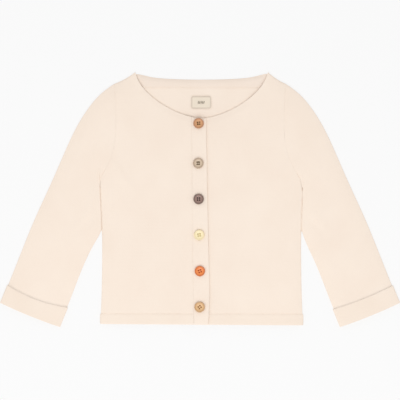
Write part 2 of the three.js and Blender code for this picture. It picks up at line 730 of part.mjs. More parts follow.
function buttonGeometry() {
  const toSolid = (geometry) => {
    geometry.deleteAttribute('normal');
    geometry.deleteAttribute('uv');
    const merged = mergeVertices(geometry, 1e-4);
    return new wasm.Manifold(
      new wasm.Mesh({
        numProp: 3,
        vertProperties: new Float32Array(merged.attributes.position.array),
        triVerts: new Uint32Array(merged.index.array),
      }),
    );
  };
  const { radius, thickness } = BUTTON;
  const profile = BUTTON_PROFILE.map(({ r, z }) => new THREE.Vector2(r * radius, z * thickness));
  const disc = new THREE.LatheGeometry(profile, BUTTON.segments).rotateX(Math.PI / 2);
  let made = toSolid(disc);
  for (const [sx, sy] of [[1, 1], [1, -1], [-1, 1], [-1, -1]]) {
    const drill = new THREE.CylinderGeometry(HOLE.radius, HOLE.radius, 3 * thickness, HOLE.sides);
    drill.rotateX(Math.PI / 2).translate(sx * HOLE.offset, sy * HOLE.offset, 0);
    made = made.subtract(toSolid(drill));
  }
  const { vertProperties, triVerts } = made.getMesh();
  const geometry = new THREE.BufferGeometry();
  geometry.setAttribute('position', new THREE.BufferAttribute(new Float32Array(vertProperties), 3));
  geometry.setIndex(Array.from(triVerts));
  geometry.computeVertexNormals();
  return geometry;
}

// The lowest level at which a button clears the placket all round.
function buttonSeat(x, y) {
  let seat = 0;
  for (let k = 0; k < BUTTON.segments; k++) {
    const angle = (2 * Math.PI * k) / BUTTON.segments;
    for (const share of [0, 0.5, 1]) {
      const px = x + share * BUTTON.radius * Math.cos(angle);
      const py = y + share * BUTTON.radius * Math.sin(angle);
      seat = Math.max(seat, placketBottom(px, py) + BAND);
    }
  }
  return seat + GAP;
}

function buttons() {
  BUTTONS.forEach(({ x, y, colour }, k) => {
    const mesh = piece(`button_${k + 1}`, buttonGeometry(), colour, BUTTON_ROUGHNESS);
    mesh.position.set(x, y, buttonSeat(x, y));
  });
}

const wasm = await Module();
wasm.setup();

// The pieces, from the back upwards
backPanel();
front('front_panel_right', SIDES.right, (y) => -tabled(PLACKET, 'seam', y) + GAP, rightFrontBottom, 'butt');
front(
  'front_panel_left',
  SIDES.left,
  (y) => tabled(PLACKET, 'seam', y) + UNDERLAP,
  (x, y) => frontBottom(SIDES.left, x, y),
  'free',
);
hemBands();
placket();
for (const [word, side] of Object.entries(SIDES)) {
  sleeve(`sleeve_${word}`, side);
  cuff(`cuff_${word}`, side);
}
backNeckFacing();
label();
buttons();

// The middle of the outline goes to the origin
const middle = new THREE.Box3().setFromObject(cardigan).getCenter(new THREE.Vector3());
cardigan.children.forEach((mesh) => {
  mesh.position.x -= middle.x;
  mesh.position.y -= middle.y;
});

export default cardigan;
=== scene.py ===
# Baby cardigan in fine cotton jersey, laid flat on its back on a pale table, seen from above.
import math

import bpy
import numpy as np
from mathutils import Matrix, Vector, noise
from mathutils.bvhtree import BVHTree
from mathutils.kdtree import KDTree


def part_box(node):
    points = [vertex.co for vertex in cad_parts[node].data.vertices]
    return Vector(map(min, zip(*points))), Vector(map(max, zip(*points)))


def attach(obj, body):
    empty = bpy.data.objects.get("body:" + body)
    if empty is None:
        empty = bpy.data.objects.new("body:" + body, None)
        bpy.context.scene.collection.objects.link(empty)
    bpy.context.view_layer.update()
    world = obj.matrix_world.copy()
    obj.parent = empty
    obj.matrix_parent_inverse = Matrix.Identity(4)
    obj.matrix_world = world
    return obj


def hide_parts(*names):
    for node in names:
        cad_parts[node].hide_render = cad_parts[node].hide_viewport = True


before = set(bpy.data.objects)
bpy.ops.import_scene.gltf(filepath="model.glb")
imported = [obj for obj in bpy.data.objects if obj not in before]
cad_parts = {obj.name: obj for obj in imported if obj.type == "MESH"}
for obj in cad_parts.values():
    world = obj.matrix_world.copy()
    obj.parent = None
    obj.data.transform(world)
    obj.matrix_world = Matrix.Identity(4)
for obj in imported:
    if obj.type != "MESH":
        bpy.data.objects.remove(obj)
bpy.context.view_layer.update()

MM = 0.001


# The table, the light and the camera
# A pale light table, as for product photographs: opal acrylic lit from below, so that cloth on it
# throws little shadow. A softbox stands past the hem, and white walls fill the room with light.
# The camera hangs straight above and frames the sleeves' full spread.
TABLE_COLOUR = "#969696"
TABLE_GLOW = 0.635
TABLE_SIZE = 12.0
TABLE_DROP = 0.2 * MM
ROOM_LIGHT = 0.776
SOFTBOX = {"place": (-0.15, -1.0, 2.1), "size": 1.4, "power": 18.0}
CAMERA_HEIGHT = 2.5
SENSOR_WIDTH = 36.0
PICTURE_WIDTH = 480 * MM
PICTURE_CENTRE_Y = -0.5 * MM


def linear(hex_colour):
    """An sRGB hex colour as linear red, green, blue and alpha."""
    value = int(hex_colour.lstrip("#"), 16)
    channels = [(value >> shift & 255) / 255 for shift in (16, 8, 0)]
    return [c / 12.92 if c <= 0.04045 else ((c + 0.055) / 1.055) ** 2.4 for c in channels] + [1.0]


def add_node(tree, kind, inputs=None, **settings):
    """Adds a shader node. inputs gives each socket a value, or another node's output to link."""
    made = tree.nodes.new(kind)
    for name, value in settings.items():
        setattr(made, name, value)
    for socket, value in (inputs or {}).items():
        if isinstance(value, bpy.types.NodeSocket):
            tree.links.new(value, made.inputs[socket])
        else:
            made.inputs[socket].default_value = value
    return made


def start_material(name, **sockets):
    """A new material, its node tree and its shader with these sockets set."""
    material = bpy.data.materials.new(name)
    material.use_nodes = True
    shader = material.node_tree.nodes["Principled BSDF"]
    for socket, value in sockets.items():
        shader.inputs[socket.replace("_", " ")].default_value = value
    return material, material.node_tree, shader


bpy.ops.object.select_all(action="DESELECT")
bpy.ops.mesh.primitive_plane_add(size=TABLE_SIZE, location=(0, 0, -TABLE_DROP))
table = bpy.context.object
table.name = "table_top"
# Opal acrylic, sanded matt: part of its brightness is its own glow
acrylic, _, _ = start_material(
    "opal_acrylic", Base_Color=linear(TABLE_COLOUR), Roughness=0.8, Specular_IOR_Level=0.2,
    Emission_Color=(1, 1, 1, 1), Emission_Strength=TABLE_GLOW)
table.data.materials.append(acrylic)

world = bpy.data.worlds.new("room_light")
world.use_nodes = True
world.node_tree.nodes["Background"].inputs["Color"].default_value = (1, 1, 1, 1)
world.node_tree.nodes["Background"].inputs["Strength"].default_value = ROOM_LIGHT
bpy.context.scene.world = world
bpy.context.scene.view_settings.view_transform = "Standard"

bpy.ops.object.light_add(type="AREA", location=SOFTBOX["place"])
softbox = bpy.context.object
softbox.data.size = SOFTBOX["size"]
softbox.data.energy = SOFTBOX["power"]
softbox.rotation_euler = Vector(SOFTBOX["place"]).to_track_quat("Z", "Y").to_euler()

bpy.ops.object.camera_add(location=(0, PICTURE_CENTRE_Y, CAMERA_HEIGHT), rotation=(0, 0, 0))
camera = bpy.context.object
camera.data.sensor_width = SENSOR_WIDTH
camera.data.lens = SENSOR_WIDTH * CAMERA_HEIGHT / PICTURE_WIDTH
camera.data.clip_end = 10
bpy.context.scene.camera = camera


# The back
# One piece of cream cotton jersey, cut whole from the shoulders to the hem seam. It lies on the
# table with its outside down, and its inside shows in the neck opening.
# The cloth's colour, and a darker colour painted as shade in the hollows between its stitches
JERSEY_FACE = "#f8eadc"
JERSEY_GROOVE_SHADE = "#f0dece"
# The real stitches are 1.1 by 0.8 mm. They are drawn twice as large, so that they show from above.
WALE = 2.3
COURSE = 1.7
SOFT_EDGE = 0.22
# The swells' spacing, and how far from an edge they start and are full
SWELL_SPACING = (42, 60)
SWELL_START = (4, 26)
# The puckers' spacing, how far in they reach, and how much of them is even
PUCKER_SPACING = 6
PUCKER_REACH = 6
PUCKER_EVEN = 0.35
# How far a settled wall may sink at its edge and in its middle, and where the middle starts
EDGE_SINK = 0.12
MIDDLE_SINK = 0.8
SINK_START = (3, 16)
# How near two edges feel their seam, how near they are drawn together, and how wide the dip is
SEAM_REACH = 4.5
SEAM_EDGE = 1.3
SEAM_WIDTH = 2.6


def jersey(name, face=JERSEY_FACE, groove_shade=JERSEY_GROOVE_SHADE, turn=0.0):
    """Combed cotton jersey, fine knit: matt and faintly fuzzy, in columns of small V stitches, with painted
    shade in the hollows between them.

    turn is the angle of the columns from +Y.
    """
    material, tree, shader = start_material(
        name, Roughness=0.93, Sheen_Weight=0.12, Sheen_Roughness=0.55, Specular_IOR_Level=0.2)
    place = add_node(tree, "ShaderNodeTexCoord").outputs["Object"]
    turned = add_node(tree, "ShaderNodeMapping", {"Vector": place, "Rotation": (0, 0, -math.radians(turn))})
    drift = add_node(tree, "ShaderNodeTexNoise", {"Vector": place, "Scale": 70.0, "Detail": 2.0})
    uneven = add_node(
        tree, "ShaderNodeVectorMath",
        {0: drift.outputs["Color"], 1: (0.7 * MM, 0.7 * MM, 0), 2: turned.outputs[0]},
        operation="MULTIPLY_ADD")
    counted = add_node(
        tree, "ShaderNodeMapping",
        {"Vector": uneven.outputs[0], "Scale": (1 / (WALE * MM), 1 / (COURSE * MM), 1)})
    axes = add_node(tree, "ShaderNodeSeparateXYZ", {0: counted.outputs[0]})

    def maths(operation, first, second=0.0, third=0.0):
        inputs = {0: first, 1: second, 2: third}
        return add_node(tree, "ShaderNodeMath", inputs, operation=operation).outputs[0]

    across = maths("PINGPONG", axes.outputs["X"], 0.5)
    leg = maths("SINE", maths("MULTIPLY", across, 2 * math.pi))
    slant = maths("MULTIPLY", maths("ADD", axes.outputs["Y"], across), math.pi)
    arch = maths("ABSOLUTE", maths("SINE", slant))
    height = maths("MULTIPLY", leg, maths("MULTIPLY_ADD", arch, 0.55, 0.45))
    mottle = add_node(tree, "ShaderNodeTexNoise", {"Vector": place, "Scale": 22.0, "Detail": 3.0})
    # Painted shade: the colour darkens towards the groove colour where the stitch relief is low. The
    # mottling is the cloth's own uneven tone.
    mottle_and_groove_shade = maths("MULTIPLY_ADD", mottle.outputs["Fac"], 0.7, maths("MULTIPLY_ADD", height, 0.6, 0.0))
    colour = add_node(
        tree, "ShaderNodeMix", {"Factor": mottle_and_groove_shade, "A": linear(groove_shade), "B": linear(face)}, data_type="RGBA")
    tree.links.new(colour.outputs["Result"], shader.inputs["Base Color"])
    bump = add_node(tree, "ShaderNodeBump", {"Height": height, "Strength": 0.5, "Distance": 0.22 * MM})
    tree.links.new(bump.outputs[0], shader.inputs["Normal"])
    return material


def pick(*objects):
    """Selects these objects alone, the first one active."""
    bpy.ops.object.select_all(action="DESELECT")
    for each in objects:
        each.select_set(True)
    bpy.context.view_layer.objects.active = objects[0]


def apply_modifier(piece, kind, **settings):
    """Adds a modifier with these settings and applies it."""
    modifier = piece.modifiers.new(kind.lower(), kind)
    for name, value in settings.items():
        setattr(modifier, name, value)
    pick(piece)
    bpy.ops.object.modifier_apply(modifier=modifier.name)


def soften_edges(piece, width, angle):
    """Bevels the edges sharper than an angle, by a width in millimetres."""
    apply_modifier(
        piece, "BEVEL", width=width * MM, segments=2, limit_method="ANGLE",
        angle_limit=math.radians(angle))


def cloth_from(node, levels):
    """A smooth wall of cloth on the form of a solid, which it replaces."""
    piece = bpy.data.objects.new(f"{node}_cloth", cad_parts[node].data.copy())
    bpy.context.collection.objects.link(piece)
    piece.data.materials.clear()
    pick(piece)
    bpy.ops.mesh.customdata_custom_splitnormals_clear()
    bpy.ops.object.mode_set(mode="EDIT")
    bpy.ops.mesh.select_mode(type="EDGE")
    bpy.ops.mesh.select_all(action="SELECT")
    bpy.ops.mesh.remove_doubles(threshold=0.01 * MM)
    bpy.ops.mesh.tris_convert_to_quads(face_threshold=math.radians(25), shape_threshold=math.radians(70))
    bpy.ops.mesh.select_all(action="DESELECT")
    bpy.ops.mesh.edges_select_sharp(sharpness=math.radians(60))
    bpy.ops.transform.edge_crease(value=1.0)
    bpy.ops.object.mode_set(mode="OBJECT")
    apply_modifier(piece, "SUBSURF", levels=levels, render_levels=levels)
    soften_edges(piece, SOFT_EDGE, 50)
    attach(piece, "root")
    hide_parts(node)
    return piece


def points_of(piece):
    """The piece's points, in millimetres."""
    points = np.empty(len(piece.data.vertices) * 3)
    piece.data.vertices.foreach_get("co", points)
    return points.reshape(-1, 3) / MM


def move_points(piece, points):
    """Puts the piece's points at these places, in millimetres."""
    piece.data.vertices.foreach_set("co", (points * MM).ravel())
    piece.data.update()


def nearest_edge(piece, points):
    """For each point, the nearest place in plan where the piece ends or folds, and how far it is."""
    upright = {index for face in piece.data.polygons if abs(face.normal.z) < 0.5 for index in face.vertices}
    tree = KDTree(len(upright))
    for index in sorted(upright):
        tree.insert((points[index][0], points[index][1], 0), index)
    tree.balance()
    found = [tree.find((x, y, 0)) for x, y, _ in points]
    return [place for place, _, _ in found], np.array([away for _, _, away in found])


def smoothstep(value, low, high):
    """0 up to low, 1 from high on, and a smooth rise between them."""
    share = np.clip((value - low) / (high - low), 0, 1)
    return share * share * (3 - 2 * share)


def above(low, high):
    """Lets the cloth move where it is higher than low, and fully from high on, in millimetres."""
    return lambda height: smoothstep(height, low, high)


def distance_to(points, path):
    """How far each point lies in plan from a path of (x, y) corners."""
    plan, best = points[:, :2], np.full(len(points), np.inf)
    for start, end in zip(np.array(path[:-1], float), np.array(path[1:], float)):
        run = end - start
        share = np.clip((plan - start) @ run / max(run @ run, 1e-9), 0, 1)
        best = np.minimum(best, np.linalg.norm(plan - start - share[:, None] * run, axis=1))
    return best


def settle(piece, seed, loose, swell=0.35, pucker=0.25, creases=(), lines=()):
    """Lets the cloth settle: swells, puckers along its edges, creases, and lines to rise or sink.

    loose gives, from a point's height, how far it may move. A crease is (x, y, angle, length,
    width, rise) in millimetres and degrees, and a line is (path, width, rise).
    """
    points = points_of(piece)
    nearest, away = nearest_edge(piece, points)
    gathers = np.array([
        noise.noise(Vector((place.x / PUCKER_SPACING, place.y / PUCKER_SPACING, seed)))
        for place in nearest])
    swells = np.array([
        noise.noise(Vector((x / SWELL_SPACING[0], y / SWELL_SPACING[1], seed + 7)))
        for x, y, _ in points])
    lift = swell * swells * smoothstep(away, *SWELL_START)
    lift += pucker * (PUCKER_EVEN + gathers) * np.exp(-away / PUCKER_REACH)
    for x, y, angle, length, width, rise in creases:
        turn = math.radians(angle)
        along = (points[:, 0] - x) * math.cos(turn) + (points[:, 1] - y) * math.sin(turn)
        across = (points[:, 1] - y) * math.cos(turn) - (points[:, 0] - x) * math.sin(turn)
        bend = across - 0.12 * length * (along / length) ** 2
        lift += rise * np.exp(-((bend / width) ** 2)) * np.exp(-((2 * along / length) ** 4))
    lift = np.maximum(lift, -MIDDLE_SINK * smoothstep(away, *SINK_START) - EDGE_SINK)
    for path, width, rise in lines:
        lift += rise * np.exp(-((distance_to(points, path) / width) ** 2))
    points[:, 2] += lift * loose(points[:, 2])
    move_points(piece, points)


def finish_cloth(piece, material):
    """Smooths and colours a piece of cloth."""
    pick(piece)
    bpy.ops.object.shade_smooth_by_angle(angle=math.radians(45))
    piece.data.materials.append(material)
    points = points_of(piece) * MM


def sew_together(first, second, pull=0.42, dip=0.1):
    """Draws the edges of two pieces towards each other and down, as the seam between them does.

    pull is the share of the gap that each edge takes up, and dip is how far the seam sinks, in
    millimetres. Each is a number, or a function of the place in millimetres.
    """
    pieces = (first, second)
    surfaces = [BVHTree.FromPolygons(
        [vertex.co for vertex in each.data.vertices], [face.vertices for face in each.data.polygons])
        for each in pieces]
    for piece, other in zip(pieces, reversed(surfaces)):
        upward = [max(vertex.normal.z, 0) for vertex in piece.data.vertices]
        for vertex, up in zip(piece.data.vertices, upward):
            found, _, _, gap = other.find_nearest(vertex.co, SEAM_REACH * MM)
            if found is None:
                continue
            share, depth = (value(vertex.co / MM) if callable(value) else value for value in (pull, dip))
            if gap < SEAM_EDGE * MM:
                vertex.co += (found - vertex.co) * share
            vertex.co.z -= depth * MM * up * math.exp(-(gap / MM / SEAM_WIDTH) ** 2)
        piece.data.update()


body_jersey = jersey("cotton_jersey")
back = cloth_from("back_panel", levels=2)
settle(back, seed=1, loose=above(0.5, 1.1), swell=0.12, pucker=0.08)
finish_cloth(back, body_jersey)


# The fronts
# Two pieces of the same jersey, joined to the back at the shoulders and sides. They lie on it with
# a little air between. The wearer's right one climbs over the left to reach the placket.
#                     x     y   angle length width rise
RIGHT_FRONT_CREASES = [
    (-96, 32, 118, 46, 5.0, 0.5),
    (-103, 8, 96, 40, 4.5, -0.4),
    (-84, 18, 128, 52, 7.0, 0.35),
    (-60, -112, 84, 60, 9.0, 0.35),
    (-30, 60, 95, 70, 10.0, -0.3),
]
LEFT_FRONT_CREASES = [
    (98, 28, 62, 44, 5.0, 0.45),
    (106, 2, 84, 40, 4.5, -0.4),
    (82, 20, 52, 50, 7.0, 0.35),
    (58, -108, 97, 64, 9.0, 0.35),
    (40, 48, 86, 72, 10.0, -0.3),
]

# The neck edges sink towards the back, so that they throw a narrow shadow. The paths are (x, y).
RIGHT_NECK_PATH = [
    (-66, 132), (-60, 125.9), (-50, 118), (-40, 111.3), (-30, 106.1), (-20, 102.3), (-12, 99.7), (-4, 98)]
LEFT_NECK_PATH = [(54, 118), (44, 111.2), (34, 106), (24, 102.3), (16, 99.8), (8, 98), (-4, 98)]
NECK_EDGE_WIDTH = 5.0
NECK_EDGE_RISE = -1.05


def everywhere(height):
    """Lets the cloth move at any height."""
    return np.ones_like(height)


def side_seam(place):
    """The pull of the side and shoulder seams, which join the fronts to the back beyond the neck."""
    return 0.47 * float(smoothstep(abs(place.x), 80, 86))


fronts = {}
for side, creases, neck_path, seed in (
    ("right", RIGHT_FRONT_CREASES, RIGHT_NECK_PATH, 2),
    ("left", LEFT_FRONT_CREASES, LEFT_NECK_PATH, 3),
):
    neck_edge = [(neck_path, NECK_EDGE_WIDTH, NECK_EDGE_RISE)]
    fronts[side] = cloth_from(f"front_panel_{side}", levels=3)
    settle(fronts[side], seed, everywhere, creases=creases, lines=neck_edge)
    sew_together(back, fronts[side], pull=side_seam, dip=0)
    finish_cloth(fronts[side], body_jersey)


# The sleeves
# Each is one piece of jersey, folded along its outer edge and seamed under the arm. It lies as a
# flat tube against the body's side, with its lower wall on the table.
SLEEVE_TILT = 24.0
UNDERARM_Y = 26
FOLD_RADIUS = 1.35
SEAM_DIP = 0.05
#                       x     y   angle length width rise
RIGHT_SLEEVE_CREASES = [
    (-128, 6, 72, 58, 6.0, 0.55),
    (-136, -30, 42, 46, 5.0, -0.5),
    (-148, -40, 60, 60, 7.0, 0.45),
    (-126, 60, 84, 54, 8.0, 0.4),
    (-186, -88, 66, 60, 9.0, 0.35),
]
LEFT_SLEEVE_CREASES = [
    (131, 2, 106, 58, 6.0, 0.55),
    (139, -32, 136, 46, 5.0, -0.5),
    (151, -38, 118, 60, 7.0, 0.45),
    (127, 58, 96, 54, 8.0, 0.4),
    (188, -84, 114, 60, 9.0, 0.35),
]


def side_dip(depth):
    """The dip along the armhole, and below it, where the sleeve swells beside the body.

    depth is negative there, so that the two crowns rise and leave a narrow valley between them.
    """
    def dip(place):
        sewn_on = float(smoothstep(place.y, UNDERARM_Y - 8, UNDERARM_Y))
        pressed_on = float(smoothstep(-place.y, -20, 20))
        return SEAM_DIP * sewn_on + depth * (0.5 + 0.8 * pressed_on) * (1 - sewn_on)
    return dip


sleeves = {}
for side, sign, creases, depth, seed in (
    ("right", -1, RIGHT_SLEEVE_CREASES, -0.95, 4),
    ("left", 1, LEFT_SLEEVE_CREASES, -0.35, 5),
):
    sleeves[side] = cloth_from(f"sleeve_{side}", levels=3)
    settle(sleeves[side], seed, above(FOLD_RADIUS, 2 * FOLD_RADIUS), creases=creases)
    sew_together(fronts[side], sleeves[side], pull=0.47, dip=side_dip(depth))
    sew_together(back, sleeves[side], pull=0.4, dip=0)
    sleeve_jersey = jersey(f"cotton_jersey_{side}_sleeve", turn=sign * SLEEVE_TILT)
    finish_cloth(sleeves[side], sleeve_jersey)


# The cuffs and the hem band
# Bands of the same jersey, doubled and sewn on with the fold at the free edge. They are firmer than
# the body, and their seams draw the cloth beside them into small gathers.
# The bands' colour, and a darker colour painted as shade in the hollows between their stitches
BAND_FACE = "#f7e9db"
BAND_GROOVE_SHADE = "#eedccb"
CUFF_TILT = 22.0

for side, sign, seam_pull, seed in (("right", -1, 0.49, 6), ("left", 1, 0.47, 7)):
    cuff = cloth_from(f"cuff_{side}", levels=3)
    settle(cuff, seed, above(1.95, 3.9), swell=0.2, pucker=0.15)
    sew_together(sleeves[side], cuff, pull=seam_pull, dip=SEAM_DIP)
    cuff_jersey = jersey(f"cotton_jersey_{side}_cuff", BAND_FACE, BAND_GROOVE_SHADE, turn=sign * CUFF_TILT)
    finish_cloth(cuff, cuff_jersey)

band_jersey = jersey("cotton_jersey_band", BAND_FACE, BAND_GROOVE_SHADE)
hem_back = cloth_from("hem_band_back", levels=2)
sew_together(back, hem_back, pull=0.45, dip=0)
finish_cloth(hem_back, band_jersey)
for side, seed in (("right", 8), ("left", 9)):
    hem = cloth_from(f"hem_band_front_{side}", levels=3)
    settle(hem, seed, everywhere, swell=0.2, pucker=0.12)
    sew_together(hem_back, hem, pull=side_seam, dip=0)
    sew_together(fronts[side], hem, pull=0.46, dip=0)
    finish_cloth(hem, band_jersey)


# The placket
# A doubled strip of jersey down the edge of the wearer's right front, with the buttonholes in it.
# It laps over the left front. Its free edge stands a little proud, and its top sinks with the neck's
# edge. Each line is (path, width, rise).
PLACKET_LINES = [
    ([(7, 98), (8, 20), (9.6, -60), (11, -115), (9.5, -149)], 4.0, 0.3),
    ([(-10, 98), (12, 98)], 5.0, -0.85),
]
placket = cloth_from("placket_right", levels=3)
settle(placket, seed=10, loose=everywhere, swell=0.2, pucker=0.15, lines=PLACKET_LINES)
sew_together(fronts["right"], placket, dip=0)
finish_cloth(placket, body_jersey)


# The back neck facing
# A strip of the same cloth, sewn flat inside the back under the neck edge, so that the neck seam is
# covered. Two thicknesses make it look a little darker.
# The facing's colour, and a darker colour painted as shade in the hollows between its stitches
FACING_FACE = "#f4e5d8"
FACING_GROOVE_SHADE = "#ecdbcb"
# Its underside, and how much of its thickness is left at the pressed edges and how far in they reach
FACING_HEIGHT = 1.24
PRESSED_SHARE = 0.25
PRESSED_REACH = 4.0
facing = cloth_from("back_neck_facing", levels=3)
settle(facing, seed=11, loose=above(1.6, 2.4), swell=0.12, pucker=0.15)
points = points_of(facing)
_, away = nearest_edge(facing, points)
pressed = PRESSED_SHARE + (1 - PRESSED_SHARE) * smoothstep(away, 0, PRESSED_REACH)
facing_low = np.array(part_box("back_neck_facing")[0]) / MM
points[:, 2] = FACING_HEIGHT + (points[:, 2] - facing_low[2]) * pressed
move_points(facing, points)
facing_jersey = jersey("cotton_jersey_facing", FACING_FACE, FACING_GROOVE_SHADE, turn=90)
finish_cloth(facing, facing_jersey)


# The label
# A woven polyester satin label with rounded corners, sewn down on all sides inside the back. It has
# a darker woven border, and five plain bars of grey stitches in the middle.
LABEL_CORNER = 2.8
LABEL_THICKNESS = 0.45
CORNER_CURL = 0.25
LABEL_FACE = "#eaddcb"
LABEL_BORDER = "#dfd1c1"
LABEL_BORDER_WIDTH = 1.7
label_low, label_high = (np.array(corner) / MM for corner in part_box("label"))
label_middle = (label_low + label_high) / 2
label_half = (label_high - label_low) / 2

bpy.ops.object.select_all(action="DESELECT")
bpy.ops.mesh.primitive_grid_add(x_subdivisions=36, y_subdivisions=24, size=2)
label = bpy.context.object
label.name = "label_cloth"
plan = (points_of(label) * MM)[:, :2] * label_half[:2]
corner_centre = label_half[:2] - LABEL_CORNER
past = np.maximum(np.abs(plan) - corner_centre, 0)
in_corner = (past > 0).all(axis=1)
shrunk = np.abs(past).max(axis=1) / np.maximum(np.linalg.norm(past, axis=1), 1e-9)
pull = np.where(in_corner, shrunk, 1.0)
plan = np.sign(plan) * (np.minimum(np.abs(plan), corner_centre) + past * pull[:, None])
curl = CORNER_CURL * (plan[:, 0] / label_half[0]) ** 2 * (plan[:, 1] / label_half[1]) ** 2
heights = label_low[2] + LABEL_THICKNESS + curl
move_points(label, np.column_stack([plan + label_middle[:2], heights]))
apply_modifier(label, "SOLIDIFY", thickness=LABEL_THICKNESS * MM, offset=-1)
soften_edges(label, 0.15, 50)
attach(label, "root")
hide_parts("label")

# Satin weave: fine crosswise floats that catch the light a little, and a darker border
satin, tree, shader = start_material(
    "woven_satin", Roughness=0.6, Specular_IOR_Level=0.35, Sheen_Weight=0.1)
place = add_node(tree, "ShaderNodeTexCoord").outputs["Object"]
centred = add_node(
    tree, "ShaderNodeMapping", {"Vector": place, "Location": [-c * MM for c in label_middle]})
floats = add_node(
    tree, "ShaderNodeTexWave",
    {"Vector": centred.outputs[0], "Scale": 1 / (2.2 * MM), "Distortion": 1.0}, bands_direction="Y")
axes = add_node(tree, "ShaderNodeSeparateXYZ", {0: centred.outputs[0]})
inside = []
for axis, half in (("X", label_half[0]), ("Y", label_half[1])):
    size = add_node(tree, "ShaderNodeMath", {0: axes.outputs[axis]}, operation="ABSOLUTE")
    inside.append(add_node(
        tree, "ShaderNodeMath", {0: size.outputs[0], 1: (half - LABEL_BORDER_WIDTH) * MM},
        operation="LESS_THAN").outputs[0])
field = add_node(tree, "ShaderNodeMath", {0: inside[0], 1: inside[1]}, operation="MULTIPLY")
colour = add_node(
    tree, "ShaderNodeMix",
    {"Factor": field.outputs[0], "A": linear(LABEL_BORDER), "B": linear(LABEL_FACE)}, data_type="RGBA")
tree.links.new(colour.outputs["Result"], shader.inputs["Base Color"])
bump = add_node(
    tree, "ShaderNodeBump", {"Height": floats.outputs["Fac"], "Strength": 0.3, "Distance": 0.1 * MM})
tree.links.new(bump.outputs[0], shader.inputs["Normal"])
finish_cloth(label, satin)


# The stitching
# Cotton-wrapped polyester thread. A sewn line is a row of short stitches that sink a little into
# the cloth, with one stitch's gap between them.
THREAD_COLOUR = "#efe0cd"
STITCH = {"length": 1.9, "pitch": 2.7, "width": 0.45}
RAY_HEIGHT = 0.1


def thread(name, colour):
    """Twisted sewing thread, with the slant of its plies as a fine bump."""
    material, tree, shader = start_material(
        name, Base_Color=linear(colour), Roughness=0.7, Specular_IOR_Level=0.3, Sheen_Weight=0.1)
    place = add_node(tree, "ShaderNodeTexCoord").outputs["Object"]
    plies = add_node(
        tree, "ShaderNodeTexWave", {"Vector": place, "Scale": 1 / (1.6 * MM)}, bands_direction="DIAGONAL")
    bump = add_node(
        tree, "ShaderNodeBump", {"Height": plies.outputs["Fac"], "Strength": 0.4, "Distance": 0.05 * MM})
    tree.links.new(bump.outputs[0], shader.inputs["Normal"])
    return material


def one_stitch():
    """The points and faces of one stitch, one unit long along X and one wide."""
    bpy.ops.object.select_all(action="DESELECT")
    bpy.ops.mesh.primitive_uv_sphere_add(segments=8, ring_count=6, radius=0.5, rotation=(0, math.pi / 2, 0))
    pattern = bpy.context.object
    bpy.ops.object.transform_apply(location=True, rotation=True, scale=True)
    points = np.array([vertex.co[:] for vertex in pattern.data.vertices])
    faces = [tuple(face.vertices) for face in pattern.data.polygons]
    bpy.data.objects.remove(pattern)
    return points, faces


STITCH_POINTS, STITCH_FACES = one_stitch()


def sewn(name, places, on, material, width=STITCH["width"], proud=0.3):
    """Stitches as one piece. Each place is (x, y, angle, length) in millimetres and degrees."""
    surface = [BVHTree.FromPolygons(
        [vertex.co for vertex in each.data.vertices], [face.vertices for face in each.data.polygons])
        for each in on]
    points, faces = [], []
    for x, y, angle, length in places:
        above_it = Vector((x * MM, y * MM, RAY_HEIGHT))
        hits = [tree.ray_cast(above_it, Vector((0, 0, -1)))[0] for tree in surface]
        heights = [hit.z / MM for hit in hits if hit is not None]
        if not heights:
            continue
        turn = math.radians(angle)
        along = STITCH_POINTS[:, 0] * length
        across = STITCH_POINTS[:, 1] * width
        arch = STITCH_POINTS[:, 2] * width - 0.4 * width * (2 * STITCH_POINTS[:, 0]) ** 2
        moved = np.column_stack([
            x + along * math.cos(turn) - across * math.sin(turn),
            y + along * math.sin(turn) + across * math.cos(turn),
            max(heights) + arch + proud * width])
        faces += [tuple(index + len(points) for index in face) for face in STITCH_FACES]
        points += moved.tolist()
    mesh = bpy.data.meshes.new(name)
    mesh.from_pydata([[c * MM for c in point] for point in points], [], faces)
    piece = bpy.data.objects.new(name, mesh)
    bpy.context.collection.objects.link(piece)
    pick(piece)
    bpy.ops.object.shade_smooth()
    mesh.materials.append(material)
    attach(piece, "root")
    return piece


def along_path(path, pitch=STITCH["pitch"], length=STITCH["length"]):
    """The places of a row of stitches along a path of (x, y) corners."""
    corners = np.array(path, float)
    runs = np.linalg.norm(np.diff(corners, axis=0), axis=1)
    reach = np.concatenate([[0], np.cumsum(runs)])
    count = max(1, int(reach[-1] / pitch))
    places = []
    for distance in (np.arange(count) + 0.5) * reach[-1] / count:
        k = min(np.searchsorted(reach, distance) - 1, len(runs) - 1)
        run = corners[k + 1] - corners[k]
        x, y = corners[k] + run * (distance - reach[k]) / runs[k]
        places.append((x, y, math.degrees(math.atan2(run[1], run[0])), length))
    return places


def rounded_rectangle(middle, half, corner):
    """A closed path with round corners, about a middle."""
    path = []
    for quarter, (sx, sy) in enumerate(((1, 1), (-1, 1), (-1, -1), (1, -1))):
        for step in range(5):
            angle = math.pi / 2 * (quarter + step / 4)
            path.append((
                middle[0] + sx * (half[0] - corner) + corner * math.cos(angle),
                middle[1] + sy * (half[1] - corner) + corner * math.sin(angle)))
    return path + path[:1]


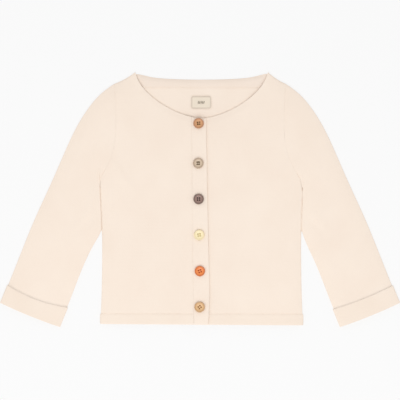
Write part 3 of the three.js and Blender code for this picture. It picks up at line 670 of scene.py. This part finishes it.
LABEL_STITCH_INSET = 0.9
LABEL_THREAD = "#d3c5b4"
BAR_THREAD = "#8d8374"
BAR = {"count": 5, "pitch": 1.7, "length": 4.2, "width": 0.9, "slant": 78}
label_edge = rounded_rectangle(
    label_middle, label_half - LABEL_STITCH_INSET, LABEL_CORNER - LABEL_STITCH_INSET / 2)
sewn(
    "label_stitches", along_path(label_edge, pitch=1.35, length=1.15), [label],
    thread("label_thread", LABEL_THREAD), width=0.38)
bars = []
for k in range(BAR["count"]):
    bar_x = label_middle[0] + (k - (BAR["count"] - 1) / 2) * BAR["pitch"]
    bars.append((bar_x, label_middle[1], BAR["slant"], BAR["length"]))
sewn(
    "label_bar_stitches", bars, [label], thread("bar_thread", BAR_THREAD),
    width=BAR["width"])

cream_thread = thread("cream_thread", THREAD_COLOUR)
FACING_STITCH_Y = facing_low[1] + 1.6
facing_line = [(-66, FACING_STITCH_Y), (70, FACING_STITCH_Y)]
sewn("facing_stitches", along_path(facing_line), [facing], cream_thread)


# The buttonholes
# Upright slits in the placket, edged with close satin stitches. Each button covers most of its
# hole, so that only its ends show, and the topmost hole ends inside the placket.
BUTTONHOLE = {"length": 14.0, "drop": 0.2, "spread": 0.85, "bar": 1.5, "pitch": 0.62, "inset": 2.0}
placket_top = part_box("placket_right")[1].y / MM
button_middles = []
for number in range(1, 7):
    low, high = (np.array(corner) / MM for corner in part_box(f"button_{number}"))
    button_middles.append((low + high) / 2)
holes = []
for x, y, _ in button_middles:
    middle_y = y - BUTTONHOLE["drop"]
    count = int(BUTTONHOLE["length"] / BUTTONHOLE["pitch"])
    for step in range(count + 1):
        level = middle_y + BUTTONHOLE["length"] * (step / count - 0.5)
        if level < placket_top - BUTTONHOLE["inset"]:
            holes += [(x + side * BUTTONHOLE["spread"], level, 0, BUTTONHOLE["bar"]) for side in (-1, 1)]
sewn("buttonhole_stitches", holes, [placket], cream_thread, width=0.5, proud=0.2)


# The buttons
# Round four-hole shirt buttons turned from polyester resin, 20 ligne, with a raised rim round a
# shallow dish. Each has its own colour and is sewn on with thread that shows in its holes.
BUTTON_RADIUS = 6.35
BUTTON_THICKNESS = 2.6
BUTTON_PROFILE = [(0, 0), (0.7, 0), (0.9, 0.12), (0.99, 0.4), (0.99, 0.62), (0.95, 0.86), (0.88, 0.99),
                  (0.8, 0.97), (0.72, 0.78), (0.62, 0.64), (0.5, 0.6), (0, 0.6)]
# The dish's height as a share of the thickness, the four holes, and the thread's plugs and bars
DISH_SHARE = 0.62
HOLE_RADIUS = 0.95
HOLE_OFFSET = 1.25
PLUG_RADIUS = 0.85
PLUG_DROP = 0.8
BAR_ARCH = 0.75
BAR_ROOT = 0.9
# Thread patterns, as pairs of the holes 0 to 3 that a bar of thread joins
BARS, HOOK, NONE, RING = [(0, 1), (3, 2)], [(0, 3), (3, 2)], [], [(0, 1), (1, 2), (2, 3), (3, 0)]
# From the neck down: name, face, rim and thread colours, turn in degrees, bars, and the bars' radius. The
# rim colour is painted shade.
BUTTONS = [
    ("caramel_brown", "#d29c6e", "#bb8560", "#7f5f37", 4, HOOK, 0.55),
    ("greige", "#d2bca3", "#b7a08a", "#76654f", 0, BARS, 0.78),
    ("cocoa_brown", "#95776c", "#786057", "#321b19", 0, NONE, 0),
    ("pale_yellow", "#fbeabf", "#f0dfb6", "#dfcf9d", 12, RING, 0.6),
    ("orange", "#ef8a45", "#d37338", "#b8562c", 22, NONE, 0),
    ("sand", "#e2b886", "#cba173", "#a87646", 38, NONE, 0),
]


def turned_button():
    """The button's form, standing on the origin: a profile spun round, with four holes bored."""
    bpy.ops.object.select_all(action="DESELECT")
    mesh = bpy.data.meshes.new("button_profile")
    outline = [(r * BUTTON_RADIUS * MM, 0, z * BUTTON_THICKNESS * MM) for r, z in BUTTON_PROFILE]
    mesh.from_pydata(outline, [(k, k + 1) for k in range(len(outline) - 1)], [])
    form = bpy.data.objects.new("button_form", mesh)
    bpy.context.collection.objects.link(form)
    pick(form)
    bpy.ops.object.mode_set(mode="EDIT")
    bpy.ops.mesh.select_all(action="SELECT")
    bpy.ops.mesh.spin(steps=48, angle=2 * math.pi, center=(0, 0, 0), axis=(0, 0, 1))
    bpy.ops.mesh.select_all(action="SELECT")
    bpy.ops.mesh.remove_doubles(threshold=0.01 * MM)
    bpy.ops.mesh.normals_make_consistent(inside=False)
    bpy.ops.object.mode_set(mode="OBJECT")
    for sx, sy in ((1, 1), (-1, 1), (-1, -1), (1, -1)):
        bpy.ops.object.select_all(action="DESELECT")
        bpy.ops.mesh.primitive_cylinder_add(
            vertices=20, radius=HOLE_RADIUS * MM, depth=4 * BUTTON_THICKNESS * MM,
            location=(sx * HOLE_OFFSET * MM, sy * HOLE_OFFSET * MM, 0))
        drill = bpy.context.object
        apply_modifier(form, "BOOLEAN", object=drill, operation="DIFFERENCE", solver="EXACT")
        bpy.data.objects.remove(drill)
    soften_edges(form, 0.12, 55)
    return form


def resin(name, face, rim_shade, middle):
    """Cast polyester resin, polished to a satin: painted shade on the rim, and faint swirls in the colour.
    """
    material, tree, shader = start_material(
        name, Roughness=0.36, Specular_IOR_Level=0.5, Coat_Weight=0.15, Coat_Roughness=0.2)
    place = add_node(tree, "ShaderNodeTexCoord").outputs["Object"]
    centred = add_node(
        tree, "ShaderNodeMapping", {"Vector": place, "Location": [-c * MM for c in middle]})
    flat = add_node(
        tree, "ShaderNodeVectorMath", {0: centred.outputs[0], 1: (1, 1, 0)}, operation="MULTIPLY")
    radius = add_node(tree, "ShaderNodeVectorMath", {0: flat.outputs[0]}, operation="LENGTH")
    # Painted shade: the colour darkens towards the rim colour from two thirds of the radius outwards, over
    # the rim's turned sides
    rim_shade_share = add_node(
        tree, "ShaderNodeMapRange",
        {"Value": radius.outputs["Value"], "From Min": 0.66 * BUTTON_RADIUS * MM,
         "From Max": 0.82 * BUTTON_RADIUS * MM},
        interpolation_type="SMOOTHSTEP")
    swirl = add_node(
        tree, "ShaderNodeTexNoise",
        {"Vector": centred.outputs[0], "Scale": 420.0, "Detail": 3.0, "Distortion": 1.2})
    share = add_node(
        tree, "ShaderNodeMath", {0: swirl.outputs["Fac"], 1: 0.5, 2: -0.25}, operation="MULTIPLY_ADD")
    factor = add_node(
        tree, "ShaderNodeMath", {0: rim_shade_share.outputs[0], 1: share.outputs[0]}, operation="ADD", use_clamp=True)
    colour = add_node(
        tree, "ShaderNodeMix",
        {"Factor": factor.outputs[0], "A": linear(face), "B": linear(rim_shade)}, data_type="RGBA")
    tree.links.new(colour.outputs["Result"], shader.inputs["Base Color"])
    return material


def thread_bar(start, end, radius):
    """A double strand of thread from one hole to another, arched over the dish."""
    middle = (start + end) / 2 + Vector((0, 0, BAR_ARCH * MM))
    root = Vector((0, 0, BAR_ROOT * MM))
    bpy.ops.object.select_all(action="DESELECT")
    bpy.ops.curve.primitive_nurbs_path_add()
    bar = bpy.context.object
    spots = [start - root, start, middle, end, end - root]
    for point, spot in zip(bar.data.splines[0].points, spots):
        point.co = (*spot, 1)
    bar.data.splines[0].resolution_u = 6
    bar.data.bevel_depth = radius * MM
    bar.data.bevel_resolution = 2
    bar.data.use_fill_caps = True
    pick(bar)
    bpy.ops.object.convert(target="MESH")
    bpy.ops.object.mode_set(mode="EDIT")
    bpy.ops.mesh.select_all(action="SELECT")
    bpy.ops.mesh.remove_doubles(threshold=0.005 * MM)
    bpy.ops.object.mode_set(mode="OBJECT")
    return bpy.context.object


form = turned_button()
for number, (row, middle) in enumerate(zip(BUTTONS, button_middles), start=1):
    name, face, rim_shade, thread_colour, turn, pattern, strand = row
    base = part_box(f"button_{number}")[0].z
    stand = Matrix.Translation((middle[0] * MM, middle[1] * MM, base)) @ Matrix.Rotation(
        math.radians(turn), 4, "Z")
    button = bpy.data.objects.new(f"button_{number}_resin", form.data.copy())
    bpy.context.collection.objects.link(button)
    button.data.transform(stand)
    pick(button)
    bpy.ops.object.shade_smooth_by_angle(angle=math.radians(40))
    button.data.materials.append(resin(f"resin_{name}", face, rim_shade, middle))
    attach(button, "root")
    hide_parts(f"button_{number}")

    # The thread: a plug in each hole, and the bars that cross the dish
    dish = DISH_SHARE * BUTTON_THICKNESS * MM
    holes = [stand @ Vector((sx * HOLE_OFFSET * MM, sy * HOLE_OFFSET * MM, dish))
             for sx, sy in ((-1, 1), (1, 1), (1, -1), (-1, -1))]
    strands = []
    for hole in holes:
        bpy.ops.object.select_all(action="DESELECT")
        bpy.ops.mesh.primitive_uv_sphere_add(
            segments=12, ring_count=8, radius=PLUG_RADIUS * MM,
            location=hole - Vector((0, 0, PLUG_DROP * MM)))
        strands.append(bpy.context.object)
    strands += [thread_bar(holes[a], holes[b], strand) for a, b in pattern]
    pick(*strands)
    bpy.ops.object.join()
    sewing = bpy.context.object
    sewing.name = f"button_{number}_thread"
    bpy.ops.object.transform_apply(location=True, rotation=True, scale=True)
    bpy.ops.object.shade_smooth()
    sewing.data.materials.clear()
    sewing.data.materials.append(thread(f"thread_{name}", thread_colour))
    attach(sewing, "root")
bpy.data.objects.remove(form)
